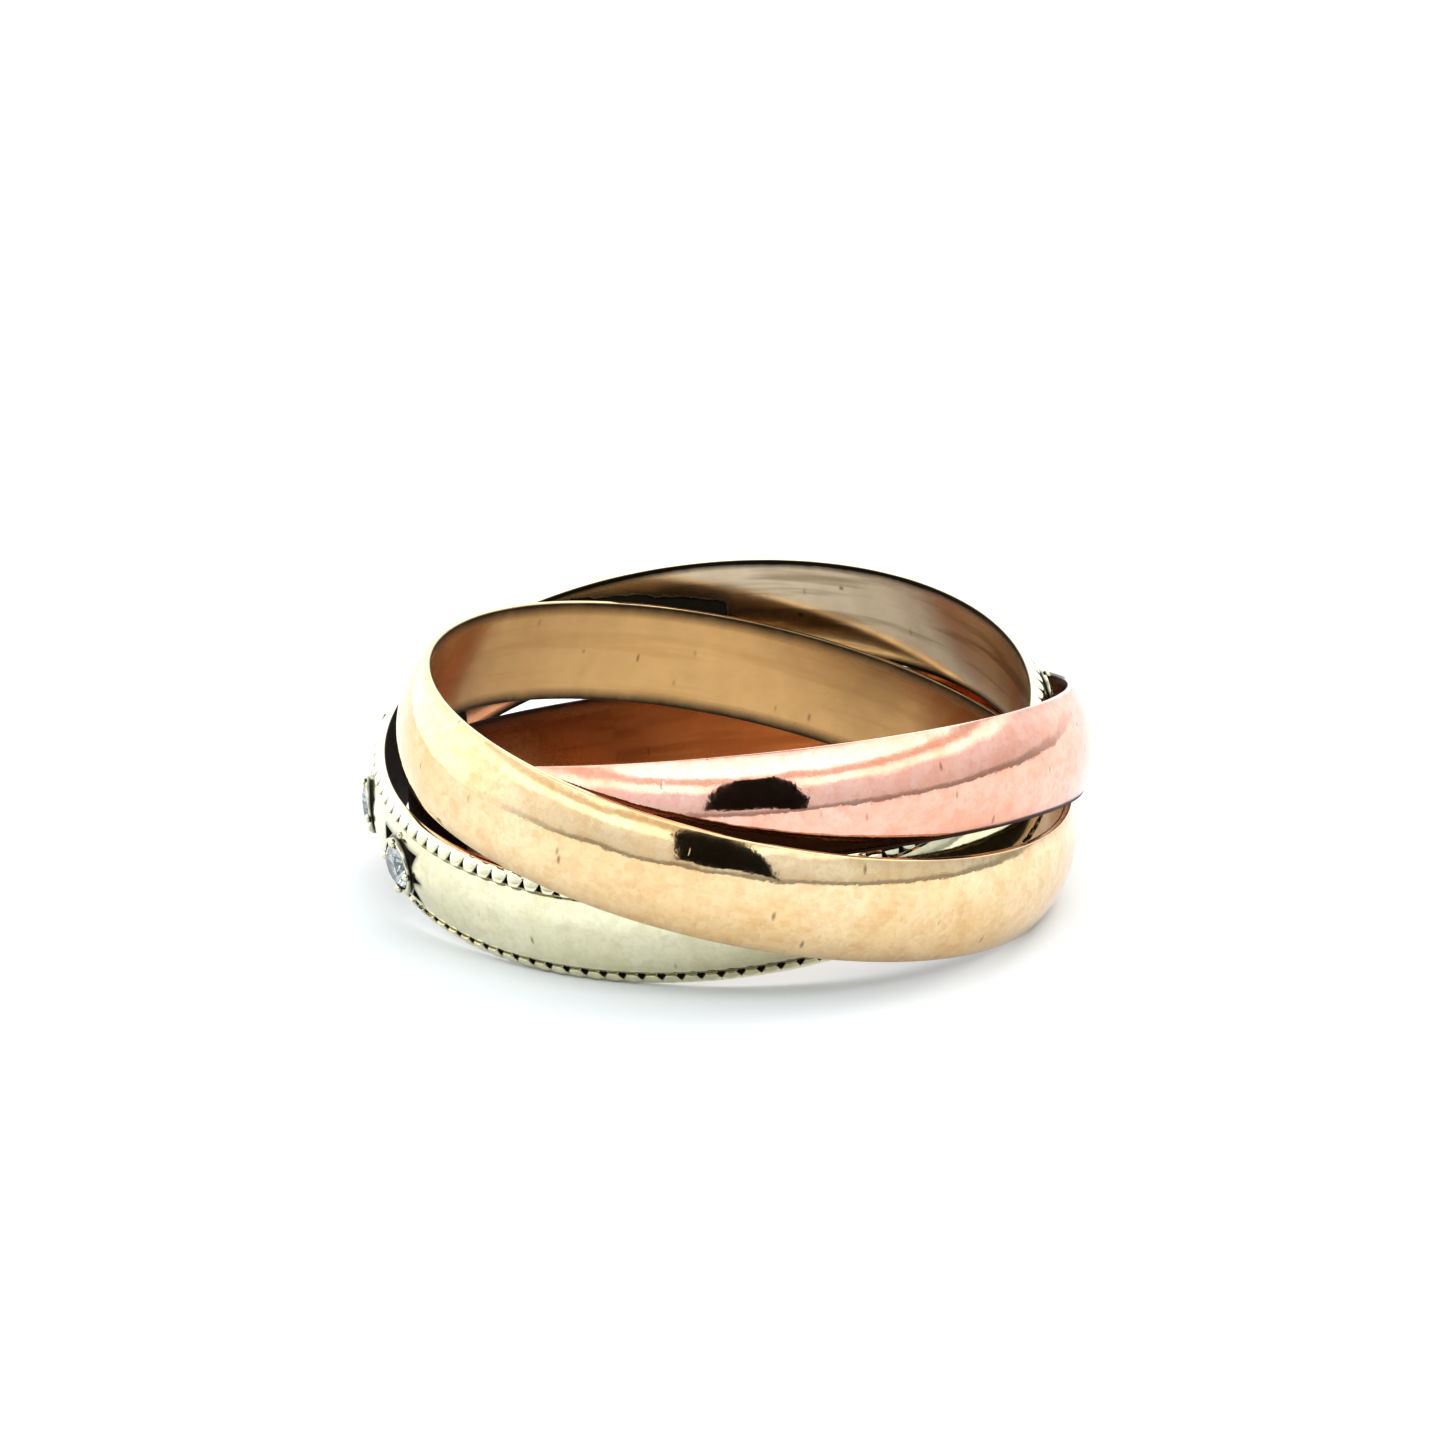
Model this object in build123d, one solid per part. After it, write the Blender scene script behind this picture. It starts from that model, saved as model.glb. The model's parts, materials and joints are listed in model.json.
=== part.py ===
from build123d import *
import os
from math import asin, cos, degrees, pi, radians, sin, sqrt

# A finger ring of three closed bands that pass through each other: yellow, rose and white.
# It lies on its side. Millimetres, +Z up, the finger hole along +Z, and the origin under the
# middle of the whole ring, on the floor. Azimuths are counted from +X towards +Y.

# Band section, the same for all three bands
BORE_RADIUS = 9.0        # inside radius, a common finger size
BAND_WIDTH = 3.0         # along the band's own axis
RIM_WALL = 0.18          # wall at the two edges
DOME_RISE = 0.42         # how much thicker the wall is at mid-width
EDGE_ROUND = 0.05        # rounding of the four corners of the section

# Room between the bands
STACK_GAP = 0.56         # room along the axis where one band stands over the next
PASS_GAP = 0.12          # least room where one band passes inside the next

# How each band lies: the azimuth of its high side, how far round from there its centre has
# slid, and its rise and slide as shares of what an even stack of the three would need
LEAN_TABLE = {
    "yellow_band": {"high_side": 171.75, "slide_side": 106.1, "rise": 1.014, "slide": 1.340},
    "rose_band": {"high_side": 296.36, "slide_side": 98.6, "rise": 0.955, "slide": 1.085},
    "white_band": {"high_side": 64.98, "slide_side": 80.7, "rise": 1.022, "slide": 1.298},
}

# Rail along both edges of the white band, which carries its row of fine beads
RAIL_WIDTH = 0.40        # from the edge to the groove
GROOVE_WIDTH = 0.10
GROOVE_DEPTH = 0.07

# Stones on the white band
STONE_COUNT = 11
STONE_DIAMETER = 1.30
STONE_PROUD = 0.22       # from the top of the dome to the stone's table
CROWN_HEIGHT = 0.17
GIRDLE_HEIGHT = 0.03
PAVILION_HEIGHT = 0.50
TABLE_SHARE = 0.56       # table's width as a share of the stone's
CULET_SHARE = 0.07       # the small flat at the point, as a share of the stone's width
STAR_SHARE = 0.45        # how far down the crown its small upper facets reach
SPLIT_SHARE = 0.70       # how far down the pavilion its split lower facets reach
SIDES = 8                # main facets round each stone

# Their settings: a collar with four claws round each stone
SEAT_GAP = 0.03          # between a stone and the metal
COLLAR_WALL = 0.12       # metal round the girdle at the collar's lip
COLLAR_FLARE = 0.04      # how much wider the collar is at its foot
COLLAR_LIP = 0.02        # the lip above the top of the girdle
CLAW_RADIUS = 0.13
CLAW_BITE = 0.07         # how far a claw's centre stands outside the girdle
SPUR_RADIUS = 0.08       # the ridge that runs from the upper and the lower claw to the groove
COLLAR_SPACING = 2.00    # between two collars, along the band
STONE_ROW_MIDDLE = 32.2  # middle of the row, degrees round the band from its high side

# Bright-cuts: hollow triangles beside each collar, and a pointed one at each end of the row
CUT_DEPTH = 0.22
CUT_START_SHARE = 0.60   # where a triangle starts beside the stone, as a share of the collar's radius
CUT_LENGTH = 0.58
CUT_TIP_SHARE = 0.66     # where the triangle's lower tip stands along its length
CUT_NEAR_SHARE = 0.31    # its lowest and highest corners, as shares of the field's half width
CUT_FAR_SHARE = 0.68
TAIL_LENGTH = 0.52
TAIL_WIDTH = 0.34

# Worked-out sizes
WALL = RIM_WALL + DOME_RISE
RIM_RADIUS = BORE_RADIUS + RIM_WALL
DOME_RADIUS = BORE_RADIUS + WALL
MIDDLE_RADIUS = BORE_RADIUS + WALL / 2
HALF_WIDTH = BAND_WIDTH / 2
FIELD_HALF = HALF_WIDTH - RAIL_WIDTH
TABLE_RADIUS = DOME_RADIUS + STONE_PROUD
GIRDLE_TOP = TABLE_RADIUS - CROWN_HEIGHT
GIRDLE_BOTTOM = GIRDLE_TOP - GIRDLE_HEIGHT
CULET_RADIUS = GIRDLE_BOTTOM - PAVILION_HEIGHT
STONE_RADIUS = STONE_DIAMETER / 2
COLLAR_RADIUS = STONE_RADIUS + SEAT_GAP + COLLAR_WALL
STONE_STEP = degrees((2 * COLLAR_RADIUS + COLLAR_SPACING) / DOME_RADIUS)


def dome_at(height):
    """Outside radius of a plain band at a height from its middle plane."""
    return RIM_RADIUS + DOME_RISE * (1 - (height / HALF_WIDTH) ** 2)


def turned(shape, angle):
    """The shape turned about the band's axis."""
    return Rot(0, 0, angle) * shape


def stone_angles():
    """Where the stones stand, in degrees round the white band from its high side."""
    first = STONE_ROW_MIDDLE + STONE_STEP * (STONE_COUNT - 1) / 2
    return [first - STONE_STEP * i for i in range(STONE_COUNT)]


def band_place(name):
    """Where a band lies: leant so that one can pass over the next, its low edge at Z = 0."""
    row = LEAN_TABLE[name]
    lean = asin((BAND_WIDTH + STACK_GAP) * row["rise"] / (sqrt(3) * MIDDLE_RADIUS))
    slide = (WALL + STONE_PROUD + PASS_GAP) * row["slide"] / sqrt(3)
    high = radians(row["high_side"])
    away = high + radians(row["slide_side"])
    level = Vector(cos(high), sin(high), 0)
    up = Vector(0, 0, 1)
    centre = Vector(slide * cos(away), slide * sin(away), RIM_RADIUS * sin(lean) + HALF_WIDTH * cos(lean))
    return Plane(origin=centre, x_dir=level * cos(lean) + up * sin(lean),
                 z_dir=up * cos(lean) - level * sin(lean))


def band(outside):
    """A closed band about +Z, its middle plane at Z = 0. outside draws the section's outer line
    between the two edges."""
    with BuildPart() as ring:
        with BuildSketch(Plane.XZ) as section:
            with BuildLine():
                Polyline((RIM_RADIUS, -HALF_WIDTH), (BORE_RADIUS, -HALF_WIDTH),
                         (BORE_RADIUS, HALF_WIDTH), (RIM_RADIUS, HALF_WIDTH))
                outside()
            make_face()
            corners = section.vertices().filter_by(lambda corner: abs(abs(corner.Y) - HALF_WIDTH) < 1e-6)
            fillet(corners, EDGE_ROUND)
        revolve(axis=Axis.Z)
    return ring.part


def plain_outside():
    """One even dome from edge to edge."""
    ThreePointArc((RIM_RADIUS, HALF_WIDTH), (DOME_RADIUS, 0), (RIM_RADIUS, -HALF_WIDTH))


def railed_outside():
    """A dome between two grooves, with a sloping rail from each groove to its edge."""
    shoulder = dome_at(FIELD_HALF)
    field = FIELD_HALF - GROOVE_WIDTH / 2
    rail = FIELD_HALF + GROOVE_WIDTH / 2
    # The dome is one parabola: its middle point pulls as far past the top as the shoulders fall short
    Bezier((shoulder, field), (2 * DOME_RADIUS - shoulder, 0), (shoulder, -field))
    for side in (1, -1):
        Polyline((shoulder, side * field), (shoulder - GROOVE_DEPTH, side * FIELD_HALF),
                 (shoulder, side * rail), (RIM_RADIUS, side * HALF_WIDTH))


def stone_profile(gap):
    """Half outline of a stone, grown by a gap: across is the distance from the stone's own axis."""
    table = STONE_RADIUS * TABLE_SHARE
    culet = STONE_RADIUS * CULET_SHARE
    return [(0, TABLE_RADIUS + gap), (table + gap, TABLE_RADIUS + gap),
            (STONE_RADIUS + gap, GIRDLE_TOP + gap), (STONE_RADIUS + gap, GIRDLE_BOTTOM - gap),
            (culet + gap, CULET_RADIUS - gap), (0, CULET_RADIUS - gap)]


def seat():
    """The space that a stone takes with its gap, at angle 0, its axis along +X."""
    with BuildPart() as hollow:
        with BuildSketch(Plane.XZ):
            with BuildLine():
                Polyline(*[(out, across) for across, out in stone_profile(SEAT_GAP)], close=True)
            make_face()
        revolve(axis=Axis.X)
    return hollow.part


def collar():
    """The low collar round a stone with its four claws, at angle 0, before its seat is cut."""
    lip = GIRDLE_TOP + COLLAR_LIP
    foot = dome_at(COLLAR_RADIUS) - DOME_RISE / 3
    with BuildPart() as setting:
        with BuildSketch(Plane.XZ):
            with BuildLine():
                Polyline((foot, 0), (lip, 0), (lip, COLLAR_RADIUS), (foot, COLLAR_RADIUS + COLLAR_FLARE),
                         close=True)
            make_face()
        revolve(axis=Axis.X)
        across = STONE_RADIUS + CLAW_BITE
        for quarter in range(4):
            angle = radians(90 * quarter)
            with Locations((lip, across * cos(angle), across * sin(angle))):
                Sphere(CLAW_RADIUS)
        spur_end = FIELD_HALF - GROOVE_WIDTH
        spur_middle = (across + spur_end) / 2
        for side in (1, -1):
            with Locations((dome_at(spur_middle), 0, side * spur_middle)):
                Cylinder(SPUR_RADIUS, spur_end - across)
    return setting.part


def pocket(floor, corners):
    """A straight-sided hollow at angle 0 down to a radius. corners are (along the band, height)."""
    ground = Plane(origin=(floor, 0, 0), x_dir=(0, 1, 0), z_dir=(1, 0, 0))
    return extrude(ground * Polygon(*corners, align=None), TABLE_RADIUS - floor, dir=(1, 0, 0))


def corner_cut(ahead, side):
    """A bright-cut beside a collar at angle 0, before or behind it and above or below it."""
    near = side * FIELD_HALF * CUT_NEAR_SHARE
    far = side * FIELD_HALF * CUT_FAR_SHARE
    start = COLLAR_RADIUS * CUT_START_SHARE
    tip = start + CUT_LENGTH * CUT_TIP_SHARE
    end = start + CUT_LENGTH
    return pocket(dome_at(far) - CUT_DEPTH, [(ahead * start, far), (ahead * end, far), (ahead * tip, near)])


def tail_cut(ahead):
    """The pointed bright-cut at the end of the row, beyond a collar at angle 0."""
    start = COLLAR_RADIUS
    half = TAIL_WIDTH / 2
    return pocket(DOME_RADIUS - CUT_DEPTH,
                  [(ahead * start, half), (ahead * start, -half), (ahead * (start + TAIL_LENGTH), 0)])


def white_band():
    """The set band: rails, grooves, bright-cuts, collars and seats on a plain band."""
    metal = band(railed_outside)
    cuts = []
    corners = [corner_cut(ahead, side) for ahead in (1, -1) for side in (1, -1)]
    angles = stone_angles()
    for angle in angles:
        cuts += [turned(corner, angle) for corner in corners]
    cuts += [turned(tail_cut(1), angles[0]), turned(tail_cut(-1), angles[-1])]
    metal = metal.cut(*cuts)
    setting = collar()
    metal = metal.fuse(*[turned(setting, angle) for angle in angles])
    hollow = seat()
    return metal.cut(*[turned(hollow, angle) for angle in angles])


def stone():
    """A round cut stone at angle 0 with its table facing +X: table, crown, girdle, pavilion and culet."""
    half_step = pi / SIDES
    crown_run = STONE_RADIUS * (1 - TABLE_SHARE)
    star_across = (STONE_RADIUS - crown_run * (1 - STAR_SHARE)) / cos(half_step)
    culet_flat = STONE_RADIUS * CULET_SHARE * cos(half_step)
    main_run = STONE_RADIUS - culet_flat
    split_across = (STONE_RADIUS - main_run * SPLIT_SHARE) / cos(half_step)

    def ring(out, across, count, offset):
        angles = [2 * pi * (i + offset) / count for i in range(count)]
        return [Vector(out, across * cos(angle), across * sin(angle)) for angle in angles]

    table = ring(TABLE_RADIUS, STONE_RADIUS * TABLE_SHARE, SIDES, 0)
    star = ring(TABLE_RADIUS - CROWN_HEIGHT * STAR_SHARE, star_across, SIDES, 0.5)
    top = ring(GIRDLE_TOP, STONE_RADIUS, 2 * SIDES, 0)
    bottom = ring(GIRDLE_BOTTOM, STONE_RADIUS, 2 * SIDES, 0)
    split = ring(GIRDLE_BOTTOM - PAVILION_HEIGHT * SPLIT_SHARE, split_across, SIDES, 0.5)
    culet = ring(CULET_RADIUS, STONE_RADIUS * CULET_SHARE, SIDES, 0.5)
    facets = [table, culet]
    for i in range(SIDES):
        before, after = (i - 1) % SIDES, (i + 1) % SIDES
        here, middle, ahead = 2 * i, 2 * i + 1, (2 * i + 2) % (2 * SIDES)
        facets.append([table[i], table[after], star[i]])
        facets.append([table[i], star[before], top[here], star[i]])
        facets.append([star[i], top[here], top[middle]])
        facets.append([star[i], top[middle], top[ahead]])
        facets.append([top[here], top[middle], bottom[middle], bottom[here]])
        facets.append([top[middle], top[ahead], bottom[ahead], bottom[middle]])
        facets.append([bottom[here], bottom[middle], split[i]])
        facets.append([bottom[middle], bottom[ahead], split[i]])
        facets.append([bottom[here], split[i], culet[i], culet[before], split[before]])
    return Solid(Shell([Face(Wire.make_polygon(points, close=True)) for points in facets]))


def whole_ring():
    """Every piece by its name, with the ring standing over the origin."""
    pieces = {}
    for name in ("yellow_band", "rose_band"):
        pieces[name] = band_place(name).location * band(plain_outside)
    white_place = band_place("white_band").location
    pieces["white_band"] = white_place * white_band()
    for number, angle in enumerate(stone_angles(), start=1):
        pieces["diamond_{:02d}".format(number)] = white_place * turned(stone(), angle)
    extent = Compound(list(pieces.values())).bounding_box()
    middle = extent.center()
    stand = Pos(-middle.X, -middle.Y, -extent.min.Z)
    return {name: stand * piece for name, piece in pieces.items()}


os.makedirs("parts", exist_ok=True)
for piece_name, piece_shape in whole_ring().items():
    export_step(piece_shape, os.path.join("parts", piece_name + ".step"))
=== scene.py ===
"""A rolling ring of three interlocked bands: yellow, rose and white gold, the last set with diamonds.

The three bands are rebuilt as fine meshes in their own coordinates (band axis along Z), from the
same named sizes as the solids they stand for. The diamonds are the model's own. Sizes are in
millimetres where nothing else is said, and MM turns them into metres.
"""
import json
from math import acos, asin, cos, degrees, inf, pi, radians, sin, sqrt, tan

import bpy
import numpy as np
from mathutils import Matrix, Vector
from mathutils.geometry import delaunay_2d_cdt


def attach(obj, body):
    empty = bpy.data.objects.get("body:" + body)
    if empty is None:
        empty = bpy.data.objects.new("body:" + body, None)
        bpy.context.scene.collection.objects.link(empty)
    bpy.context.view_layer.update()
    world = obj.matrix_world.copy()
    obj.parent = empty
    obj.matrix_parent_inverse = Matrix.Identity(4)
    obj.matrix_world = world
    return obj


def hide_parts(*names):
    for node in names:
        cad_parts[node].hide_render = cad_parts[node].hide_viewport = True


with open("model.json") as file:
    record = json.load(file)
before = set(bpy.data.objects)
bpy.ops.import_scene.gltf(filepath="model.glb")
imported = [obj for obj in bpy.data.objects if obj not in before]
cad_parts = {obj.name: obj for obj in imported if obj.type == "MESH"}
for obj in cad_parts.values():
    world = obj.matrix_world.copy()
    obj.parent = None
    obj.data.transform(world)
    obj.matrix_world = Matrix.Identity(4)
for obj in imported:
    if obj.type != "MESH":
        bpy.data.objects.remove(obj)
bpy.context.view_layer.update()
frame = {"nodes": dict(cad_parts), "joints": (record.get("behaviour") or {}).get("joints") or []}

MM = 0.001                # one millimetre in metres

# Band section
BORE_RADIUS = 9.0
BAND_WIDTH = 3.0
RIM_WALL = 0.18
DOME_RISE = 0.42
EDGE_ROUND = 0.05
WALL = RIM_WALL + DOME_RISE
RIM_RADIUS = BORE_RADIUS + RIM_WALL
DOME_RADIUS = BORE_RADIUS + WALL
MIDDLE_RADIUS = BORE_RADIUS + WALL / 2
HALF_WIDTH = BAND_WIDTH / 2

# How the bands lie. Sides are in degrees
STACK_GAP = 0.56
PASS_GAP = 0.12
STONE_PROUD = 0.22
LEAN_TABLE = {
    "yellow_band": {"high_side": 171.75, "slide_side": 106.1, "rise": 1.014, "slide": 1.340},
    "rose_band": {"high_side": 296.36, "slide_side": 98.6, "rise": 0.955, "slide": 1.085},
    "white_band": {"high_side": 64.98, "slide_side": 80.7, "rise": 1.022, "slide": 1.298},
}

# Rails of the white band, with a row of beads on each
RAIL_WIDTH = 0.40
GROOVE_WIDTH = 0.10
GROOVE_DEPTH = 0.07
FIELD_HALF = HALF_WIDTH - RAIL_WIDTH
FIELD_EDGE = FIELD_HALF - GROOVE_WIDTH / 2
RAIL_EDGE = FIELD_HALF + GROOVE_WIDTH / 2
SHOULDER = RIM_RADIUS + DOME_RISE * (1 - (FIELD_HALF / HALF_WIDTH) ** 2)
DOME_FALL = (DOME_RADIUS - SHOULDER) / FIELD_EDGE ** 2
BEAD_COUNT = 108
BEAD_MIDDLE = 0.15       # from the groove's edge to the top of a bead
BEAD_REACH = 0.19
BEAD_CROWN = 0.065
NOTCH_HALF = 0.12        # half the width of the notch between two beads, at the groove
NOTCH_REACH = 0.26       # where the notch ends
NOTCH_DEPTH = 0.15
NOTCH_FLANK = 0.035
NOTCH_TAPER = 1.3

# Stones, settings and cuts
STONE_COUNT = 11
STONE_RADIUS = 0.65
CROWN_HEIGHT = 0.17
GIRDLE_HEIGHT = 0.03
PAVILION_HEIGHT = 0.50
TABLE_SHARE = 0.56
CULET_SHARE = 0.07
SEAT_GAP = 0.03
COLLAR_WALL = 0.12
COLLAR_FLARE = 0.04
COLLAR_LIP = 0.02
COLLAR_ROUND = 0.02
COLLAR_BATTER = 0.002    # how far the outer cone stands out below the rounded lip
CLAW_RADIUS = 0.13
CLAW_BITE = 0.07
CLAW_TOP_SHARE = 0.3     # of a claw's radius below the lip: above it a claw rests on the crown
CLAW_TURN = 0.62         # share of a half turn, from a claw's top down its side
SPUR_RADIUS = 0.08
SPUR_SINK = 0.04
SPUR_TIP = 0.02          # share of the radius that is left at a spur's end
COLLAR_SPACING = 2.00
STONE_ROW_MIDDLE = 32.2  # degrees from the band's high side
CUT_DEPTH = 0.22
CUT_START_SHARE = 0.60
CUT_LENGTH = 0.58
CUT_TIP_SHARE = 0.66
CUT_NEAR_SHARE = 0.31
CUT_FAR_SHARE = 0.68
CUT_FLOOR_SHARE = 0.62
TAIL_LENGTH = 0.52
TAIL_WIDTH = 0.34
TAIL_CLEAR = 0.02
TABLE_RADIUS = DOME_RADIUS + STONE_PROUD
GIRDLE_TOP = TABLE_RADIUS - CROWN_HEIGHT
GIRDLE_BOTTOM = GIRDLE_TOP - GIRDLE_HEIGHT
CULET_RADIUS = GIRDLE_BOTTOM - PAVILION_HEIGHT
LIP = GIRDLE_TOP + COLLAR_LIP
COLLAR_RADIUS = STONE_RADIUS + SEAT_GAP + COLLAR_WALL
STONE_STEP = degrees((2 * COLLAR_RADIUS + COLLAR_SPACING) / DOME_RADIUS)

# Dirt and painted shade, as shares from 0, clean, to 1, nearly black, and where they lie
CREVICE_REACH = 0.66     # painted shade, from another band
CREVICE_FADE = 0.06
CREVICE_WIDTH = 0.16     # painted shade along an outer edge that another band passes
BORE_FADE = 0.05         # outward from the bore, where its satin finish ends
PLAIN_RIM_REACH = 0.30
PLAIN_RIM_FADE = 0.28
PLAIN_RIM_DIRT = 0.12
PLAIN_BORE_DIRT = 0.55
SET_RIM_REACH = 0.16
SET_RIM_FADE = 0.12
SET_BORE_DIRT = 0.7
# In the white band's grooves, notches, cuts, collars, seats and at its claws' bases the dirt is also
# painted shade
GROOVE_DIRT_AND_SHADE = 0.31
GROOVE_DIRT_SHADE_REACH = 0.054
GROOVE_DIRT_SHADE_FADE = 0.036
NOTCH_DIRT_SHADE_DEPTH = 0.4 * NOTCH_DEPTH
FIELD_DIRT_AND_SHADE = 0.35        # dirt and painted shade beside a collar or a cut
FIELD_DIRT_SHADE_FALL = 2.5    # for each millimetre from it
CUT_DIRT_AND_SHADE = (0.85, 1.0)   # at the rim and at the floor
COLLAR_DIRT_AND_SHADE = (0.7, 0.15, 0, 0, 0.1, 0.4, 0.7)
SEAT_DIRT_AND_SHADE = 0.45
CLAW_DIRT_AND_SHADE = (0, 0, 0, 0, 0, 0, 0.1, 0.25, 0.4, 0.5, 0.6)
SPUR_DIRT = 0.1

# Mesh fineness
BAND_COLUMNS = 720
DOME_ROWS = 28
BORE_ROWS = 8
DOME_INSET = EDGE_ROUND * 1.1
FIELD_COLUMNS = 260
FIELD_ROWS = 20
TILE_COLUMNS = 30
TILE_SPACING = 0.11
TILE_CLEAR = 0.45 * TILE_SPACING
CUT_STEPS = 5
COLLAR_COLUMNS = 64
COLLAR_ROUNDS = 6        # of working out a collar's foot
CLAW_COLUMNS = 20
CLAW_ROWS = 11
SPUR_COLUMNS = 12
SPUR_ROWS = 8
RAIL_REACHES = (0.0, 0.012, 0.04, 0.08, 0.13, 0.18, 0.23, 0.28, 0.31)
BEAD_OFFS = (0.09, 0.18, 0.27, 0.345, 0.40, 0.45)      # shares of a bead's pitch
RIM_CLEAR = 0.005        # above the rim, where the beads and notches end
GROOVE_SECTION = (        # shares of the groove's depth, and heights
    (0.6, FIELD_EDGE + 0.03),
    (1, FIELD_HALF),
    (0.8, FIELD_HALF + 0.025),
)

# Camera. Its place is in metres, and its sensor and lens are in millimetres
CAMERA_PLACE = (-0.000131, -0.198507, 0.068124)
CAMERA_FORWARD = (0.0, 0.95280651, -0.30357824)
CAMERA_UP = (0.00674734, 0.30357133, 0.95278482)
CAMERA_SENSOR = 36
CAMERA_LENS = 186.769

# Studio, in metres. The lights from all round are (elevation in degrees, radiance)
FLOOR_HALF = 0.7
FLOOR_COLOUR = (0.70, 0.72, 0.73, 1)
FLOOR_ROUGH = 0.9
WORLD_SCALE = 4.0        # above the brightest radiance, because a ramp's colours end at 1
FRONT_LIGHT = [
    (0, (0.38, 0.38, 0.38)),
    (3, (0.46, 0.47, 0.48)),
    (5, (0.86, 0.92, 0.96)),
    (16, (1.0, 1.10, 1.22)),
    (25, (1.12, 1.22, 1.34)),
    (29, (2.3, 2.35, 2.3)),
    (33, (2.2, 2.25, 2.2)),
    (36, (1.05, 1.0, 0.95)),
    (40, (1.15, 1.1, 1.05)),
    (44, (2.7, 2.85, 3.0)),
    (60, (2.5, 2.65, 2.8)),
    (70, (0.9, 0.9, 0.9)),
]
BACK_LIGHT = [
    (0, (2.6, 2.7, 2.8)),
    (30, (2.4, 2.4, 2.4)),
    (60, (1.6, 1.6, 1.6)),
    (80, (0.9, 0.9, 0.9)),
]
BACK_STARTS = -0.5
BACK_FULL = 1.0
BACK_TURN = 0.5          # turns the bright side of the studio to the left
KEY_PLACE = (0.12, 0.16, 0.34)
KEY_SIZE = 0.22
KEY_ENERGY = 0.33
KEY_COLOUR = (1.0, 0.97, 0.92)
CARD_COLOUR = (0.004, 0.004, 0.003, 1)
CARD_DISTANCE = 0.19
CARD_HEIGHT = 0.005      # of the point that the card's elevations are seen from
CARD_OUTLINE = [(-105, 6), (-105, 30), (-100, 37), (-83, 38), (-76, 31), (-72, 12), (-73, 2), (-85, 6)]
SPECULAR_LEVEL = 0.1     # of the floor and of the dirt on the gold

# Gold texture. Scales are for each metre, and round the band and across it where there are three.
# A pair is the range of a texture in which something begins and is full
BROAD_SCALE = 260.0
PATCH_SCALE = 1100.0
GRAIN_SCALE = 5200.0
DENT_SCALE = 1000.0
CELL_SCALE = 3200.0
PIT_SCALE = 800.0
NICK_SCALE = (2000.0, 800.0, 1.0)
NICK_SLANT = 0.35
ACROSS_SCALE = (9000.0, 700.0, 1.0)
ALONG_SCALE = (350.0, 9000.0, 1.0)
STREAK_SCALE = (110.0, 1500.0, 1.0)
PATCH_BEND = 0.9 * MM    # how far the textures push the cells about
GRAIN_BEND = 0.4 * MM
NICK_EDGE = (0.14, 0.05)
NICK_SHARE = (0.30, 0.80)
PIT_EDGE = (0.085, 0.05)
PIT_SHARE = (0.76, 0.92)
CELL_TONE = (0.50, 1.0)
CELL_MOST = 0.32
PATCH_RANGE = (0.35, 0.70)
# How the dirt and painted shade show, darken, dull and roughen the gold
DIRT_SHADE_PATCH = (0.30, 0.60, 0.85, 1.0)
DIRT_SHADE_TONE = (0.0, 0.45)
DIRT_SHADE_DULL = (0.5, 0.9)
DIRT_SHADE_ROUGH = 0.5
ROUGH_SHARES = (0.8, 1.5)              # least and most of a gold's roughness
# Painted shade patches in a bore: soft edges and a ragged top
SHADE_PATCH_EDGE = 0.10
SHADE_PATCH_END_FADE = 1.2
SHADE_PATCH_RAGGED = 0.4
BUMP_STRENGTH = 0.4
BUMP_DISTANCE = 0.03 * MM
GRAIN_BUMP = 0.06
CELL_BUMP = 0.12
LINE_BUMP = 0.02
DENT_BUMP = 1.6
MARK_BUMP = -0.8
BORE_BUMP = 0.25         # share of the bump that is left in a bore
MARK_DARKNESS = 0.60

# Diamond
DUST_SCALE = 2600.0
DIAMOND_CLEAR = (0.58, 0.65, 0.64, 1)
DIAMOND_DUSTY = (0.34, 0.40, 0.39, 1)
DIAMOND_INDEX = 2.2
DUST_TONE = (0.35, 0.70)
DUST_ROUGH = (0.45, 0.75, 0.0, 0.06)

# Gold tones. Shade patches are nearly black painted shade and painted dark reflections in a bore:
# their start and end along the bore, their bottom and top across it, and how steeply the top rises
# Each inner tone is the bore's satin gold darkened with painted shade
YELLOW = dict(colour=(0.80, 0.53, 0.245, 1), pale=(0.86, 0.66, 0.40, 1), deep=(0.67, 0.39, 0.17, 1),
              shaded_inner=(0.70, 0.415, 0.165, 1), tarnish=(0.50, 0.26, 0.09, 1), streaks=0.35,
              grime_shade_colour=(0.04, 0.028, 0.015, 1), roughness=0.055, satin_rough=0.16, seed=0.013,
              shade_patches=[dict(start=11.4, end=29.0, bottom=0.30, top=1.27, rise=0.0)])
ROSE = dict(colour=(0.84, 0.41, 0.28, 1), pale=(0.88, 0.53, 0.42, 1), deep=(0.78, 0.31, 0.19, 1),
            shaded_inner=(0.52, 0.18, 0.055, 1), tarnish=(0.27, 0.07, 0.02, 1), streaks=0.5,
            grime_shade_colour=(0.035, 0.015, 0.010, 1), roughness=0.055, satin_rough=0.16, seed=0.037)
WHITE = dict(colour=(0.73, 0.685, 0.435, 1), pale=(0.81, 0.78, 0.58, 1), deep=(0.59, 0.54, 0.33, 1),
             shaded_inner=(0.67, 0.55, 0.38, 1), tarnish=(0.26, 0.19, 0.10, 1), streaks=0.7,
             grime_shade_colour=(0.008, 0.007, 0.004, 1), roughness=0.080, satin_rough=0.13, seed=0.071,
             shade_patches=[dict(start=3.5, end=9.4, bottom=-3.0, top=-0.62, rise=0.22),
                     dict(start=12.5, end=25.0, bottom=-3.0, top=3.0, rise=0.0)])


def dome_at(height):
    """Outside radius of the section's even dome, as the settings were laid out on it."""
    return RIM_RADIUS + DOME_RISE * (1 - (height / HALF_WIDTH) ** 2)


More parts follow.
